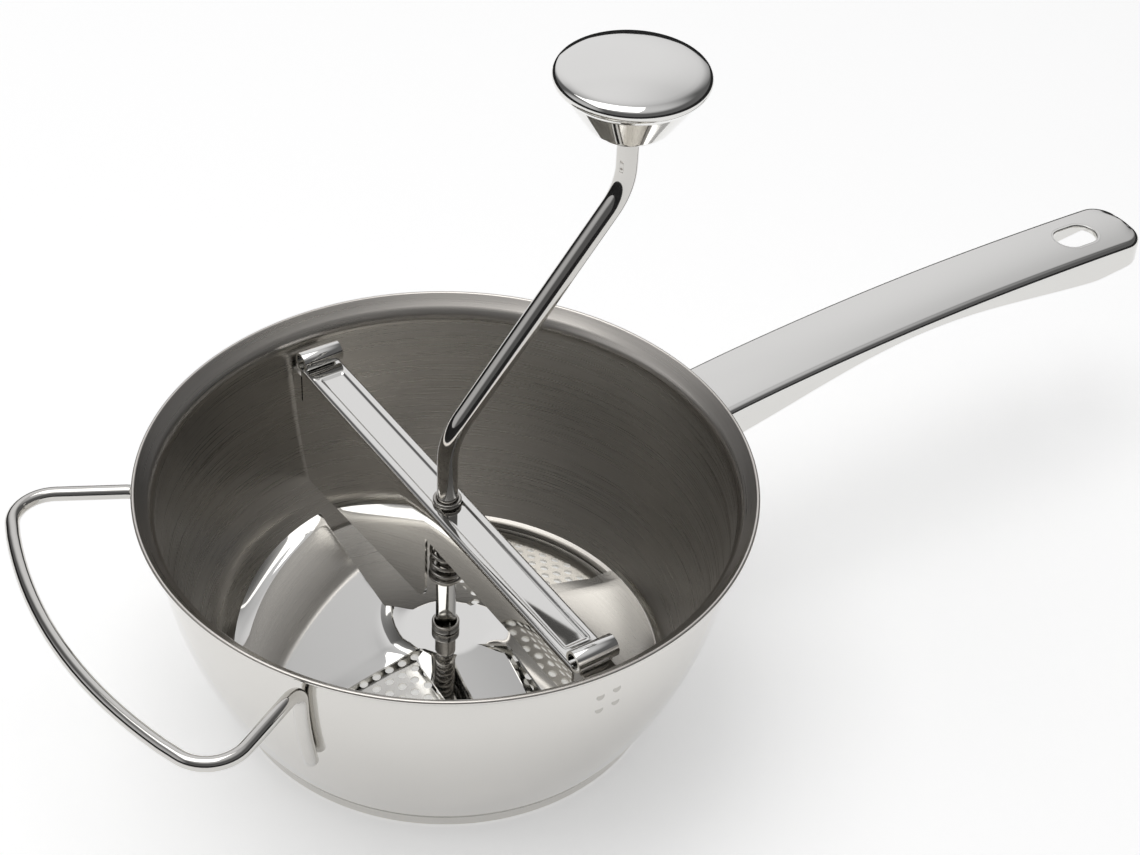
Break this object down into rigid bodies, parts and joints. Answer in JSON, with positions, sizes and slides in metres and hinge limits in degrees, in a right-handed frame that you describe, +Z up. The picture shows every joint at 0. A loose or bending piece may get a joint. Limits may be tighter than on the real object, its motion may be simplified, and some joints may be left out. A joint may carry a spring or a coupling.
{
  "type": "rotary food mill",
  "caption": "Hand-cranked steel food mill: deep bowl, domed sieve, winged blade on a cranked shaft in a sprung bridge, long handle and wire helper handle.",
  "frame": {"origin": "centre of the bowl's foot, on the surface that the mill stands on, on the axis of the bowl and crank shaft", "axes": "+Z up along the crank shaft; +X along the long handle; the wire helper handle is at -X; the bridge lies along Y"},
  "size_m": [0.4537, 0.21, 0.23],
  "materials": {
    "brushed_steel": "stainless steel, brushed inside in rings, polished outside",
    "polished_steel": "mirror polished stainless steel",
    "satin_steel": "satin stainless steel",
    "drawn_wire_steel": "drawn and polished stainless wire",
    "spring_steel": "bright hard stainless steel"
  },
  "bodies": {
    "bowl": {"bowl": "brushed_steel", "bridge_bracket_far": "satin_steel", "bridge_bracket_near": "satin_steel", "long_handle": "polished_steel", "helper_handle": "drawn_wire_steel"},
    "sieve": {"sieve_disc": "satin_steel"},
    "bridge": {"bridge": "polished_steel", "upper_spring_washer": "satin_steel", "spring": "spring_steel"},
    "spring_seat": {"lower_spring_seat": "satin_steel"},
    "rotor": {"crank": "polished_steel", "crank_clip": "spring_steel", "blade_collar": "satin_steel", "spring_stop_ring": "spring_steel", "blade": "polished_steel", "pilot_rivet": "spring_steel", "knob_rivet": "spring_steel"},
    "knob": {"knob_cap": "polished_steel", "knob_cup": "satin_steel", "knob_sleeve": "spring_steel"}
  },
  "joints": [
    {"name": "bridge_lift", "type": "slide", "parent": "bowl", "child": "bridge", "axis": [0, 0, 1], "range_m": [0, 0.13]},
    {"name": "sieve_lift", "type": "slide", "parent": "bowl", "child": "sieve", "axis": [0, 0, 1], "range_m": [0, 0.0975]},
    {"name": "rotor_float", "type": "slide", "parent": "bridge", "child": "spring_seat", "axis": [0, 0, 1], "range_m": [0, 0.0025], "stiffness_N_per_m": 1500, "springref_m": -0.01, "deforming": ["spring"]},
    {"name": "crank_turn", "type": "hinge", "parent": "spring_seat", "child": "rotor", "pos_m": [0, 0, 0.0777], "axis": [0, 0, 1], "continuous": true},
    {"name": "knob_spin", "type": "hinge", "parent": "rotor", "child": "knob", "pos_m": [0.066, 0, 0.2043], "axis": [0, 0, 1], "continuous": true}
  ],
  "couplings": [
    {"joint": "sieve_lift", "follows": "bridge_lift", "ratio": 0.75}
  ]
}
